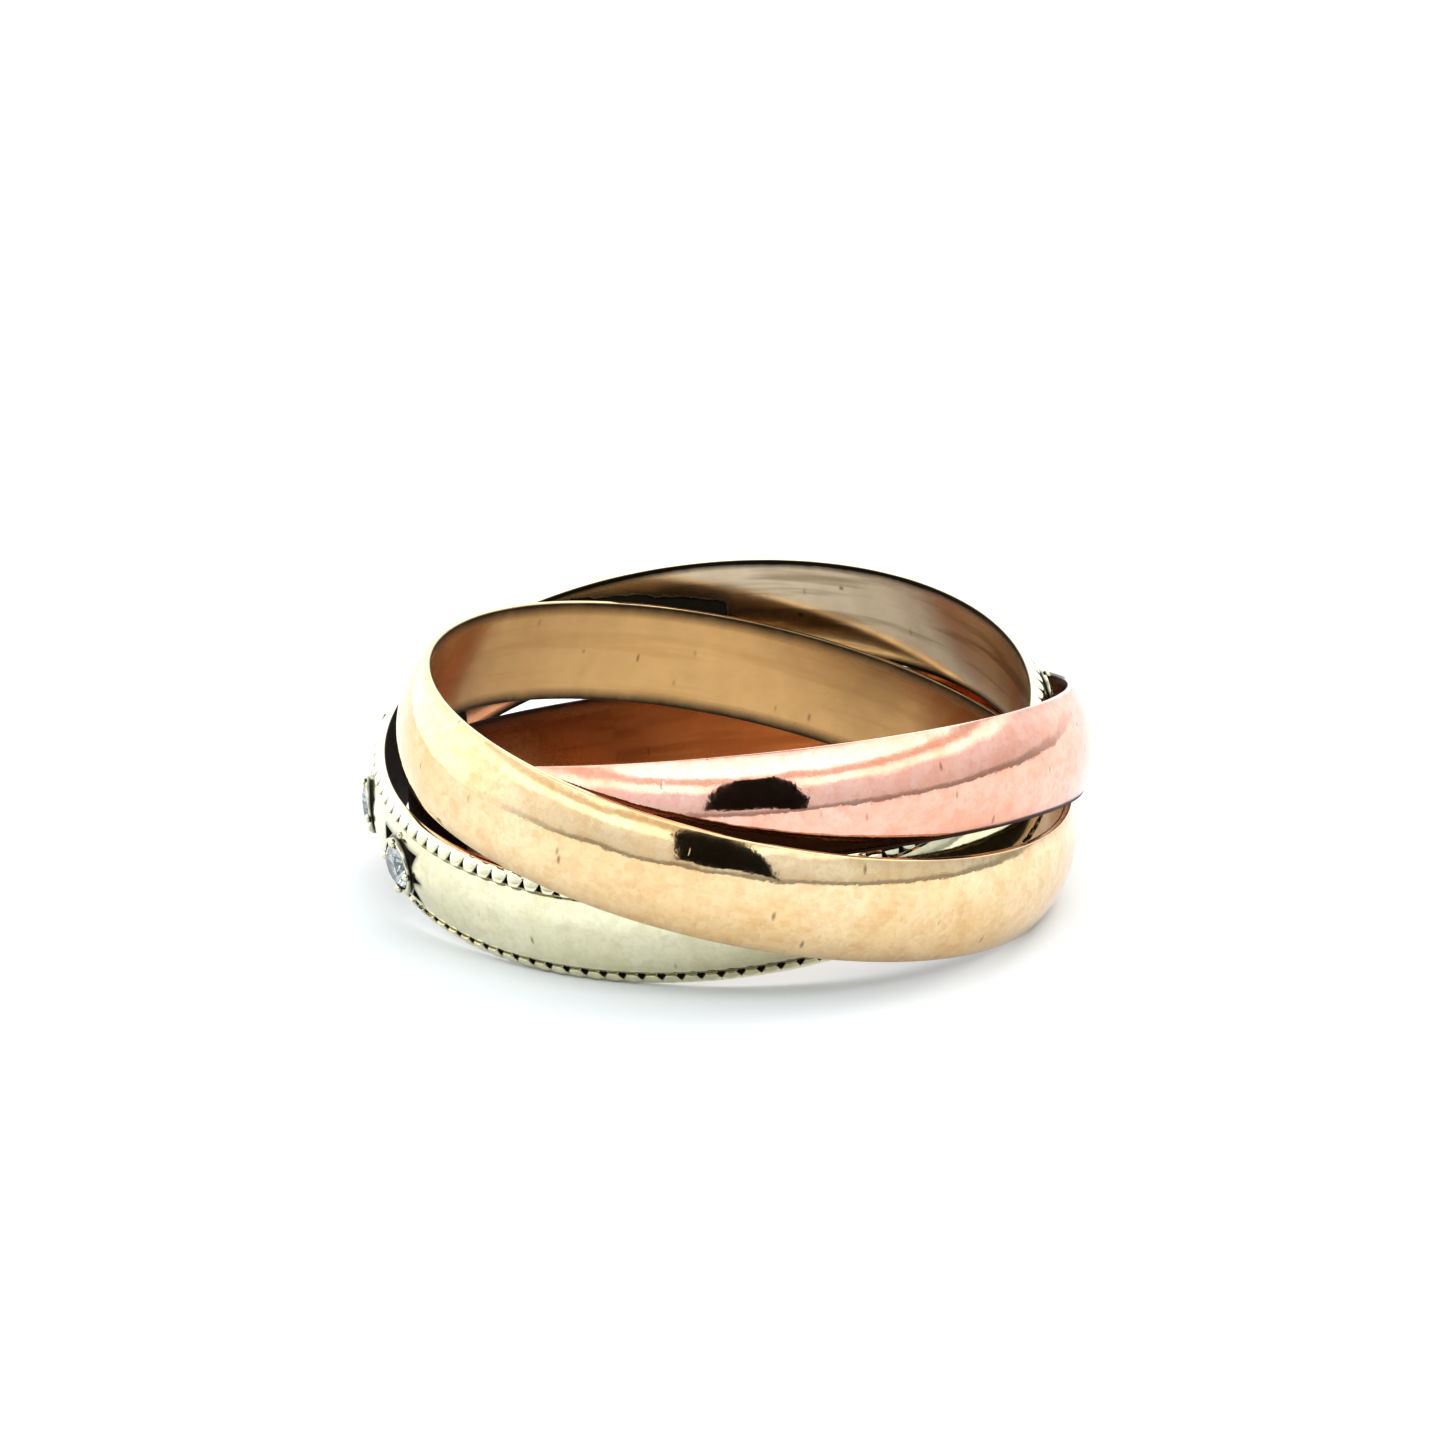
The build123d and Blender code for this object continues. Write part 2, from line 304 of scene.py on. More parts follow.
def field_at(height):
    """Outside radius of the white band between its grooves."""
    return DOME_RADIUS - DOME_FALL * height ** 2


def stone_angles():
    """Where the stones stand, in degrees round the white band from its high side."""
    first = STONE_ROW_MIDDLE + STONE_STEP * (STONE_COUNT - 1) / 2
    return [first - STONE_STEP * i for i in range(STONE_COUNT)]


def formula_place(name):
    """Centre and axes of a band, before the whole ring is set over the origin."""
    row = LEAN_TABLE[name]
    lean = asin((BAND_WIDTH + STACK_GAP) * row["rise"] / (sqrt(3) * MIDDLE_RADIUS))
    slide = (WALL + STONE_PROUD + PASS_GAP) * row["slide"] / sqrt(3)
    high = radians(row["high_side"])
    away = high + radians(row["slide_side"])
    level = Vector((cos(high), sin(high), 0))
    up = Vector((0, 0, 1))
    rise = RIM_RADIUS * sin(lean) + HALF_WIDTH * cos(lean)
    centre = Vector((slide * cos(away), slide * sin(away), rise))
    along = level * cos(lean) + up * sin(lean)
    axis = up * cos(lean) - level * sin(lean)
    return centre, along, axis


def band_matrix(name):
    """Where a band's own coordinates stand in the frame, in metres."""
    centre, along, axis = formula_place(name)
    rose_joint = [joint for joint in frame["joints"] if joint["name"] == "rose_roll"][0]
    shift = Vector(rose_joint["pos_m"]) - formula_place("rose_band")[0] * MM
    across = axis.cross(along)
    matrix = Matrix((along, across, axis)).transposed().to_4x4()
    matrix.translation = centre * MM + shift
    return matrix


def painted_crevice_shade(points, own):
    """Share of painted shade at points in the frame, where another band than their own is near."""
    least = np.full(len(points), np.inf)
    for name in LEAN_TABLE:
        if name == own:
            continue
        place = band_matrix(name).inverted()
        local = (points @ np.array(place.to_3x3()).T + np.array(place.translation)) / MM
        radius = np.hypot(local[:, 0], local[:, 1])
        height = np.abs(local[:, 2])
        beyond = np.maximum(height - HALF_WIDTH, 0)
        outer = dome_at(np.minimum(height, HALF_WIDTH))
        aside = np.maximum(np.maximum(radius - outer, BORE_RADIUS - radius), 0)
        least = np.minimum(least, np.hypot(beyond, aside))
    return np.clip((CREVICE_REACH - least) / CREVICE_FADE, 0, 1)


def turned(points, angle):
    """Points or normals turned about the band's axis by an angle in degrees."""
    x, y, z = np.asarray(points, float).T
    c = cos(radians(angle))
    s = sin(radians(angle))
    return np.stack([c * x - s * y, s * x + c * y, z], 1)


class Patches:
    """Gathers mesh patches in a band's own coordinates, with their normals and shares of dirt and
    painted shade.
    """

    def __init__(self):
        self.points = []
        self.normals = []
        self.grime_and_shade = []
        self.inside = []
        self.faces = []
        self.count = 0

    def add(self, points, normals, faces, grime_and_shade=0.0, inside=0.0):
        """One patch. Grime with painted shade, and inside, how far a point is in the bore, are one share
        or one a point.
        """
        points = np.asarray(points, float).reshape(-1, 3)
        normals = np.asarray(normals, float).reshape(-1, 3)
        lengths = np.linalg.norm(normals, axis=1, keepdims=True)
        self.points.append(points)
        self.normals.append(normals / np.maximum(lengths, 1e-12))
        for kept, shares in ((self.grime_and_shade, grime_and_shade), (self.inside, inside)):
            kept.append(np.broadcast_to(np.asarray(shares, float).reshape(-1), (len(points),)))
        self.faces += [[int(i) + self.count for i in face] for face in faces]
        self.count += len(points)

    def add_grid(self, grid, closed, grime_and_shade=0.0, flip=False, inside=0.0):
        """A grid of points [column, row]. Its normals come from the grid itself."""
        grid = np.asarray(grid, float)
        columns, rows = grid.shape[:2]
        if closed:
            along = np.roll(grid, -1, 0) - np.roll(grid, 1, 0)
        else:
            along = np.gradient(grid, axis=0)
        up = np.gradient(grid, axis=1)
        normals = np.cross(along, up)
        faces = []
        for i in range(columns if closed else columns - 1):
            after = (i + 1) % columns
            for j in range(rows - 1):
                face = [i * rows + j, after * rows + j, after * rows + j + 1, i * rows + j + 1]
                faces.append(face[::-1] if flip else face)
        self.add(grid, -normals if flip else normals, faces, grime_and_shade, inside)

    def add_turned(self, other, angle):
        """All the patches of another group, turned about the band's axis by an angle in degrees."""
        points = turned(np.concatenate(other.points), angle)
        normals = turned(np.concatenate(other.normals), angle)
        self.add(points, normals, other.faces, np.concatenate(other.grime_and_shade))

    def object(self, name, own, material):
        """The patches as one object. Its material reads the band's own coordinates from the mesh."""
        place = band_matrix(own)
        turn = np.array(place.to_3x3())
        points = np.concatenate(self.points) * MM
        placed = points @ turn.T + np.array(place.translation)
        normals = np.concatenate(self.normals) @ turn.T
        inside = np.concatenate(self.inside)
        grime_and_shade = np.concatenate(self.grime_and_shade)
        # Painted shade along the rose band's outer edges, where another band passes close
        if own == "rose_band":
            edge = np.abs(points[:, 2]) / MM - HALF_WIDTH + CREVICE_WIDTH
            edge = np.clip(2 * edge / CREVICE_WIDTH, 0, 1) * (1 - inside)
            grime_and_shade = np.maximum(grime_and_shade, edge * painted_crevice_shade(placed, own))
        mesh = bpy.data.meshes.new(name)
        mesh.from_pydata(placed.tolist(), [], self.faces)
        mesh.polygons.foreach_set("use_smooth", [True] * len(mesh.polygons))
        for label, values in (("grime_and_shade", grime_and_shade), ("inside", inside)):
            share = mesh.attributes.new(label, "FLOAT", "POINT")
            share.data.foreach_set("value", values)
        local = mesh.attributes.new("band_place", "FLOAT_VECTOR", "POINT")
        local.data.foreach_set("vector", points.ravel())
        mesh.update()
        mesh.normals_split_custom_set_from_vertices(normals.tolist())
        mesh.materials.append(material)
        made = bpy.data.objects.new(name, mesh)
        bpy.context.scene.collection.objects.link(made)
        return made


def rounded(before, corner, after, radius, steps=4):
    """Points of the arc that rounds a corner of an outline."""
    corner = np.array(corner, float)
    back = np.array(before, float) - corner
    ahead = np.array(after, float) - corner
    back /= np.linalg.norm(back)
    ahead /= np.linalg.norm(ahead)
    half = acos(np.clip(back @ ahead, -1, 1)) / 2
    middle = back + ahead
    centre = corner + middle / np.linalg.norm(middle) * radius / sin(half)
    start = corner + back * radius / tan(half)
    sweep = pi - 2 * half
    arm = start - centre
    side = corner + ahead * radius / tan(half) - centre
    side = side - (side @ arm) * arm / (arm @ arm)
    side *= radius / np.linalg.norm(side)
    turns = [sweep * i / steps for i in range(steps + 1)]
    return [centre + arm * cos(turn) + side * sin(turn) for turn in turns]


def plain_outline():
    """Closed section (radius, height) of a plain band, from the lower rim up over the dome."""
    bulge = (HALF_WIDTH ** 2 + DOME_RISE ** 2) / (2 * DOME_RISE)
    middle = DOME_RADIUS - bulge
    spread = asin((HALF_WIDTH - DOME_INSET) / bulge)
    dome = []
    for i in range(DOME_ROWS + 1):
        angle = spread * (2 * i / DOME_ROWS - 1)
        dome.append((middle + bulge * cos(angle), bulge * sin(angle)))
    top_rim = (RIM_RADIUS, HALF_WIDTH)
    top_bore = (BORE_RADIUS, HALF_WIDTH)
    low_bore = (BORE_RADIUS, -HALF_WIDTH)
    low_rim = (RIM_RADIUS, -HALF_WIDTH)
    outline = list(dome)
    outline += rounded(dome[-1], top_rim, top_bore, EDGE_ROUND)
    outline += rounded(top_rim, top_bore, low_bore, EDGE_ROUND)
    for i in range(1, BORE_ROWS):
        outline.append((BORE_RADIUS, (HALF_WIDTH - EDGE_ROUND) * (1 - 2 * i / BORE_ROWS)))
    outline += rounded(top_bore, low_bore, low_rim, EDGE_ROUND)
    outline += rounded(low_bore, low_rim, dome[0], EDGE_ROUND)
    return np.array([tuple(point) for point in outline])


def outline_normals(outline):
    """Outward normals of a closed outline that runs up its outside."""
    run = np.roll(outline, -1, 0) - np.roll(outline, 1, 0)
    normals = np.stack([run[:, 1], -run[:, 0]], 1)
    return normals / np.linalg.norm(normals, axis=1, keepdims=True)


def plain_band(name, own, material):
    """A plain domed band, turned from its section. Dirt gathers along its rims."""
    outline = plain_outline()
    flat = outline_normals(outline)
    rows = len(outline)
    angles = np.arange(BAND_COLUMNS) * 2 * pi / BAND_COLUMNS
    turn = np.stack([np.cos(angles), np.sin(angles)], 1)
    points = np.zeros((BAND_COLUMNS, rows, 3))
    normals = np.zeros((BAND_COLUMNS, rows, 3))
    points[:, :, :2] = turn[:, None, :] * outline[None, :, :1]
    points[:, :, 2] = outline[None, :, 1]
    normals[:, :, :2] = turn[:, None, :] * flat[None, :, :1]
    normals[:, :, 2] = flat[None, :, 1]
    inside = np.clip((BORE_RADIUS + BORE_FADE - outline[:, 0]) / BORE_FADE, 0, 1)
    near_rim = (np.abs(outline[:, 1]) - HALF_WIDTH + PLAIN_RIM_REACH) / PLAIN_RIM_FADE
    near_rim = np.clip(near_rim, 0, 1)
    grime_and_shade = inside * PLAIN_BORE_DIRT * near_rim + (1 - inside) * PLAIN_RIM_DIRT * near_rim
    faces = []
    for i in range(BAND_COLUMNS):
        after = (i + 1) % BAND_COLUMNS
        for j in range(rows):
            above = (j + 1) % rows
            faces.append([i * rows + j, after * rows + j, after * rows + above, i * rows + above])
    patches = Patches()
    patches.add(points, normals, faces, np.tile(grime_and_shade, BAND_COLUMNS), np.tile(inside, BAND_COLUMNS))
    return patches.object(name, own, material)


def on_field(across, height):
    """A point of the white band's field, across = distance from the plane of the stone at angle 0."""
    radius = field_at(height)
    return (sqrt(radius * radius - across * across), across, height)


def field_normals(points):
    """Outward normals of the field at its points."""
    points = np.asarray(points, float)
    radius = np.hypot(points[:, 0], points[:, 1])
    return np.stack([points[:, 0] / radius, points[:, 1] / radius, 2 * DOME_FALL * points[:, 2]], 1)


def collar_foot(angle):
    """Where the collar's outer cone meets the field, as (across, height)."""
    spread = COLLAR_RADIUS
    foot = dome_at(COLLAR_RADIUS) - DOME_RISE / 3
    for _ in range(COLLAR_ROUNDS):
        out = on_field(spread * cos(angle), spread * sin(angle))[0]
        spread = COLLAR_RADIUS + COLLAR_FLARE * (LIP - out) / (LIP - foot)
    return spread * cos(angle), spread * sin(angle)


def cut_corners():
    """The four bright-cuts beside a stone, as corners (across, height), each one anticlockwise."""
    near = FIELD_HALF * CUT_NEAR_SHARE
    far = FIELD_HALF * CUT_FAR_SHARE
    start = COLLAR_RADIUS * CUT_START_SHARE
    tip = start + CUT_LENGTH * CUT_TIP_SHARE
    end = start + CUT_LENGTH
    cuts = []
    for ahead in (1, -1):
        for side in (1, -1):
            corners = [(ahead * x, side * z) for x, z in ((start, far), (tip, near), (end, far))]
            cuts.append(corners if ahead * side > 0 else corners[::-1])
    return cuts


def tail_corners(ahead):
    """The pointed cut at an end of the row."""
    start = COLLAR_RADIUS + COLLAR_FLARE + TAIL_CLEAR
    end = COLLAR_RADIUS + TAIL_LENGTH
    half = TAIL_WIDTH / 2 * (end - start) / TAIL_LENGTH
    corners = [(ahead * start, half), (ahead * start, -half), (ahead * end, 0.0)]
    return corners if ahead > 0 else corners[::-1]


def divided(corners, steps):
    """Points along a closed outline, each side divided evenly."""
    points = []
    for i, corner in enumerate(corners):
        after = corners[(i + 1) % len(corners)]
        for j in range(steps):
            share = j / steps
            points.append(tuple(here + (there - here) * share for here, there in zip(corner, after)))
    return points


def inside_outline(point, outline):
    """Whether a point stands inside a closed outline."""
    hit = False
    x, y = point
    for i, (x0, y0) in enumerate(outline):
        x1, y1 = outline[(i + 1) % len(outline)]
        if (y0 > y) != (y1 > y) and x < x0 + (y - y0) / (y1 - y0) * (x1 - x0):
            hit = not hit
    return hit


def outline_distance(point, outline):
    """Least distance from a point to a closed outline."""
    best = inf
    x, y = point
    for i, (x0, y0) in enumerate(outline):
        x1, y1 = outline[(i + 1) % len(outline)]
        run_x = x1 - x0
        run_y = y1 - y0
        share = ((x - x0) * run_x + (y - y0) * run_y) / (run_x ** 2 + run_y ** 2)
        share = min(1, max(0, share))
        gap = sqrt((x - x0 - share * run_x) ** 2 + (y - y0 - share * run_y) ** 2)
        best = min(best, gap)
    return best


def field_heights():
    """Heights of the field's rows of points, from its lower edge to its upper edge."""
    return [FIELD_EDGE * (2 * i / FIELD_ROWS - 1) for i in range(FIELD_ROWS + 1)]


def stone_tile(tails):
    """Points, faces, and dirt with painted shade, of the field round one stone at angle 0, with holes
    for the collar and the cuts. Tails holds 1 or -1 for a pointed cut ahead of the stone or behind it."""
    half = radians(STONE_STEP / 2)
    heights = field_heights()
    edge = [(field_at(z) * sin(half), z) for z in heights]
    low = [(field_at(-FIELD_EDGE) * sin(half * (2 * i / TILE_COLUMNS - 1)), -FIELD_EDGE)
           for i in range(1, TILE_COLUMNS)]
    border = low + edge + [(x, -z) for x, z in low[::-1]] + [(-x, z) for x, z in edge[::-1]]
    ring = [collar_foot(2 * pi * i / COLLAR_COLUMNS) for i in range(COLLAR_COLUMNS)]
    cuts = cut_corners() + [tail_corners(ahead) for ahead in tails]
    holes = [ring] + [divided(corners, CUT_STEPS) for corners in cuts]
    outlines = [border] + holes
    points = []
    edges = []
    for outline in outlines:
        first = len(points)
        points += outline
        edges += [(first + i, first + (i + 1) % len(outline)) for i in range(len(outline))]
    columns = int(2 * edge[len(edge) // 2][0] / TILE_SPACING)
    for i in range(1, columns):
        for z in heights[1:-1]:
            x = (2 * i / columns - 1) * field_at(z) * sin(half)
            if all(outline_distance((x, z), outline) > TILE_CLEAR for outline in outlines):
                if not any(inside_outline((x, z), hole) for hole in holes):
                    points.append((x, z))
    made = delaunay_2d_cdt([Vector(p) for p in points], edges, [], 0, 1e-6)
    flat = [tuple(v) for v in made[0]]
    faces = []
    for face in made[2]:
        middle = tuple(sum(flat[i][k] for i in face) / len(face) for k in (0, 1))
        if inside_outline(middle, border) and not any(inside_outline(middle, hole) for hole in holes):
            a, b, c = (flat[i] for i in face)
            turn = (b[0] - a[0]) * (c[1] - a[1]) - (b[1] - a[1]) * (c[0] - a[0])
            faces.append(list(face) if turn > 0 else list(face)[::-1])
    grime_and_shade = []
    # Dirt and painted shade on the field, darkest beside the collar and the cuts
    for point in flat:
        gap = min(outline_distance(point, hole) for hole in holes)
        grime_and_shade.append(max(0.0, FIELD_DIRT_AND_SHADE - gap * FIELD_DIRT_SHADE_FALL))
    return [on_field(*p) for p in flat], faces, grime_and_shade


def add_pocket(patches, corners, floor):
    """Walls and floor of a bright-cut: its walls lean in towards the floor."""
    middle = np.mean(np.array(corners), axis=0)
    for i, corner in enumerate(corners):
        after = corners[(i + 1) % len(corners)]
        grid = []
        for j in range(CUT_STEPS + 1):
            rim = np.array(corner) + (np.array(after) - np.array(corner)) * j / CUT_STEPS
            ground = middle + (rim - middle) * CUT_FLOOR_SHARE
            grid.append([on_field(*rim), (floor, ground[0], ground[1])])
        # Dirt with painted shade on the cut's walls, nearly black
        patches.add_grid(grid, False, np.tile(CUT_DIRT_AND_SHADE, CUT_STEPS + 1), flip=True)
    ground = [middle + (np.array(corner) - middle) * CUT_FLOOR_SHARE for corner in corners]
    points = [(floor, p[0], p[1]) for p in ground]
    # The cut's floor: dirt with painted shade, black
    patches.add(points, [(1, 0, 0)] * len(points), [list(range(len(points)))], CUT_DIRT_AND_SHADE[1])


def spun(rows_at):
    """Points (out, across, height) round the stone's axis. rows_at(angle) gives (out, spread) rows."""
    grid = []
    for i in range(COLLAR_COLUMNS):
        angle = 2 * pi * i / COLLAR_COLUMNS
        grid.append([(out, spread * cos(angle), spread * sin(angle)) for out, spread in rows_at(angle)])
    return grid


def collar_rows(angle):
    """Section (out, spread) of a collar from its foot over its rounded lip to its mouth."""
    foot = collar_foot(angle)
    mouth = STONE_RADIUS + SEAT_GAP
    soft = COLLAR_ROUND
    return [(on_field(*foot)[0], sqrt(foot[0] ** 2 + foot[1] ** 2)),
            (LIP - soft, COLLAR_RADIUS + COLLAR_BATTER),
            (LIP - 0.3 * soft, COLLAR_RADIUS - 0.3 * soft),
            (LIP, COLLAR_RADIUS - soft),
            (LIP, mouth + soft),
            (LIP - 0.3 * soft, mouth + 0.3 * soft),
            (LIP - soft, mouth)]


def add_collar(patches):
    """Outer cone, rounded lip and inner seat of a collar round the stone's axis, at angle 0."""
    # Dirt with painted shade at the collar's foot and mouth
    patches.add_grid(spun(collar_rows), True, np.tile(COLLAR_DIRT_AND_SHADE, COLLAR_COLUMNS))
    mouth = STONE_RADIUS + SEAT_GAP
    girdle = GIRDLE_BOTTOM - SEAT_GAP
    bottom = CULET_RADIUS - SEAT_GAP
    culet = STONE_RADIUS * CULET_SHARE + SEAT_GAP
    seat = [(LIP - COLLAR_ROUND, mouth), (girdle, mouth), (bottom, culet), (bottom, 0.0)]
    for rows in zip(seat, seat[1:]):
        # Dirt with painted shade on the seat under the stone
        patches.add_grid(spun(lambda angle: rows), True, SEAT_DIRT_AND_SHADE)


def clear_of_stone(x, spread):
    """Moves a point of a claw out of the room that the stone and its gap take."""
    mouth = STONE_RADIUS + SEAT_GAP
    if spread >= mouth:
        return x, spread
    table = STONE_RADIUS * TABLE_SHARE + SEAT_GAP
    crown = GIRDLE_TOP + SEAT_GAP + CROWN_HEIGHT * (mouth - spread) / (mouth - table)
    if x >= crown:
        return x, spread
    if x > LIP - CLAW_RADIUS * CLAW_TOP_SHARE:
        return crown, spread
    return x, mouth


def claw_point(turn, angle, tilt):
    """A point of the claw that stands at an angle round the stone, kept clear of the stone."""
    across = STONE_RADIUS + CLAW_BITE
    x = LIP + CLAW_RADIUS * sin(tilt)
    y = across * cos(turn) + CLAW_RADIUS * cos(tilt) * cos(angle)
    z = across * sin(turn) + CLAW_RADIUS * cos(tilt) * sin(angle)
    spread = sqrt(y * y + z * z)
    x, kept = clear_of_stone(x, spread)
    return x, y * kept / spread, z * kept / spread


def add_claws(patches):
    """Four claws over the girdle."""
    tilts = [pi / 2 - pi * CLAW_TURN * j / (CLAW_ROWS - 1) for j in range(CLAW_ROWS)]
    angles = [2 * pi * i / CLAW_COLUMNS for i in range(CLAW_COLUMNS)]
    for quarter in range(4):
        grid = [[claw_point(pi / 2 * quarter, angle, tilt) for tilt in tilts] for angle in angles]
        # Dirt with painted shade, darker towards each claw's base
        patches.add_grid(grid, True, np.tile(CLAW_DIRT_AND_SHADE, CLAW_COLUMNS), flip=True)


def add_spurs(patches):
    """The two ridges that run from a collar to the grooves, each with a rounded far end."""
    start = STONE_RADIUS + CLAW_BITE
    end = FIELD_HALF - GROOVE_WIDTH
    base = dome_at((start + end) / 2) - SPUR_SINK
    for side in (1, -1):
        grid = []
        for i in range(SPUR_COLUMNS + 1):
            angle = pi * i / SPUR_COLUMNS
            line = []
            for j in range(SPUR_ROWS + 1):
                share = j / SPUR_ROWS
                past = max(0.0, share * 1.5 - 0.5)
                size = SPUR_RADIUS * min(1.0, sqrt(max(0.0, 1 - past ** 2)) + SPUR_TIP)
                z = start + (end - start) * share
                line.append((base + (size + SPUR_SINK) * sin(angle), size * cos(angle) * side, side * z))
            grid.append(line)
        patches.add_grid(grid, False, SPUR_DIRT, flip=True)


def rail_radius(off, height, crest):
    """Radius on a rail: off is the distance along the rail from the middle of the nearest bead."""
    reach = height - RAIL_EDGE
    if reach < 0:
        return crest
    half_pitch = pi * SHOULDER / BEAD_COUNT
    fade = max(0.0, 1 - reach / NOTCH_REACH)
    half_bead = half_pitch - NOTCH_HALF * fade ** NOTCH_TAPER
    spread = (off / half_pitch) ** 2 + ((reach - BEAD_MIDDLE) / BEAD_REACH) ** 2
    depth = NOTCH_DEPTH * sqrt(fade) * min(1.0, max(0.0, off - half_bead) / NOTCH_FLANK)
    return crest + BEAD_CROWN * sqrt(max(0.0, 1 - spread)) - depth


def held(value):
    """The value kept between 0 and 1."""
    return min(1.0, max(0.0, value))


def rail_dirt_and_shade(radius, height, top):
    """Shares of dirt with painted shade, and of bore, at a point of the rails' outline, which the rails
    take to top.
    """
    # Grooves and notches take dirt with painted shade; the bore's rims take dirt
    in_groove = 0.0
    if radius > RIM_RADIUS + EDGE_ROUND:
        in_groove = held((GROOVE_DIRT_SHADE_REACH - abs(height - FIELD_HALF)) / GROOVE_DIRT_SHADE_FADE)
    in_notch = held((radius - top) / NOTCH_DIRT_SHADE_DEPTH)
    in_bore = held((BORE_RADIUS + BORE_FADE - radius) / BORE_FADE)
    near_rim = held((height - HALF_WIDTH + SET_RIM_REACH) / SET_RIM_FADE)
    return max(in_groove * GROOVE_DIRT_AND_SHADE, in_notch, in_bore * SET_BORE_DIRT * near_rim), in_bore


def rail_outline():
    """Open section (radius, height) of the rails, from the upper groove round by the bore."""
    slope = (SHOULDER - RIM_RADIUS) / (HALF_WIDTH - RAIL_EDGE)
    upper = [(SHOULDER, FIELD_EDGE)]
    upper += [(SHOULDER - share * GROOVE_DEPTH, height) for share, height in GROOVE_SECTION]
    upper += [(SHOULDER - slope * reach, RAIL_EDGE + reach) for reach in RAIL_REACHES]
    rim = (RIM_RADIUS, HALF_WIDTH)
    bore = (BORE_RADIUS, HALF_WIDTH)
    low = (BORE_RADIUS, -HALF_WIDTH)
    upper += [tuple(p) for p in rounded(upper[-1], rim, bore, EDGE_ROUND, 2)]
    upper += [tuple(p) for p in rounded(rim, bore, low, EDGE_ROUND, 2)]
    middle = [(BORE_RADIUS, HALF_WIDTH * share) for share in (0.8, 0.0, -0.8)]
    return upper + middle + [(radius, -height) for radius, height in upper[::-1]]


def add_rails(patches):
    """Both rails with their beads and notches, the grooves, the edges and the bore, in one turn."""
    pitch = 2 * pi * SHOULDER / BEAD_COUNT
    outline = rail_outline()
    offs = [-0.5] + [-off for off in BEAD_OFFS[::-1]] + [0.0] + list(BEAD_OFFS)
    grid = []
    grime_and_shade = []
    inside = []
    for bead in range(BEAD_COUNT):
        for off in offs:
            angle = 2 * pi * (bead + off) / BEAD_COUNT
            for radius, height in outline:
                top = radius
                if radius > RIM_RADIUS + RIM_CLEAR and abs(height) > FIELD_HALF:
                    top = rail_radius(abs(off) * pitch, abs(height), radius)
                grid.append((top * cos(angle), top * sin(angle), height))
                dirt_and_shade, in_bore = rail_dirt_and_shade(radius, abs(height), top)
                grime_and_shade.append(dirt_and_shade)
                inside.append(in_bore)
    grid = np.array(grid).reshape(BEAD_COUNT * len(offs), len(outline), 3)
    patches.add_grid(grid, True, grime_and_shade, flip=True, inside=inside)


def add_plain_field(patches):
    """The stretch of the field that carries no stones."""
    angles = stone_angles()
    start = angles[0] + STONE_STEP / 2
    end = angles[-1] - STONE_STEP / 2 + 360
    points = []
    for i in range(FIELD_COLUMNS + 1):
        angle = radians(start + (end - start) * i / FIELD_COLUMNS)
        points += [(field_at(z) * cos(angle), field_at(z) * sin(angle), z) for z in field_heights()]
    rows = FIELD_ROWS + 1
    faces = [[i * rows + j, (i + 1) * rows + j, (i + 1) * rows + j + 1, i * rows + j + 1]
             for i in range(FIELD_COLUMNS) for j in range(FIELD_ROWS)]
    patches.add(points, field_normals(points), faces)


def white_band(material):
    """The set band: rails, grooves, plain field, and a tile with its setting for every stone."""
    patches = Patches()
    add_rails(patches)
    add_plain_field(patches)
    setting = Patches()
    for corners in cut_corners():
        add_pocket(setting, corners, dome_at(FIELD_HALF * CUT_FAR_SHARE) - CUT_DEPTH)
    add_collar(setting)
    add_claws(setting)
    add_spurs(setting)
    angles = stone_angles()
    tails = {angles[0]: 1, angles[-1]: -1}
    plain_tile = stone_tile([])
    for angle in angles:
        points, faces, grime_and_shade = plain_tile
        if angle in tails:
            points, faces, grime_and_shade = stone_tile([tails[angle]])
            end_cut = Patches()
            add_pocket(end_cut, tail_corners(tails[angle]), DOME_RADIUS - CUT_DEPTH)
            patches.add_turned(end_cut, angle)
        patches.add(turned(points, angle), turned(field_normals(points), angle), faces, grime_and_shade)
        patches.add_turned(setting, angle)
    return patches.object("white_band_set", "white_band", material)


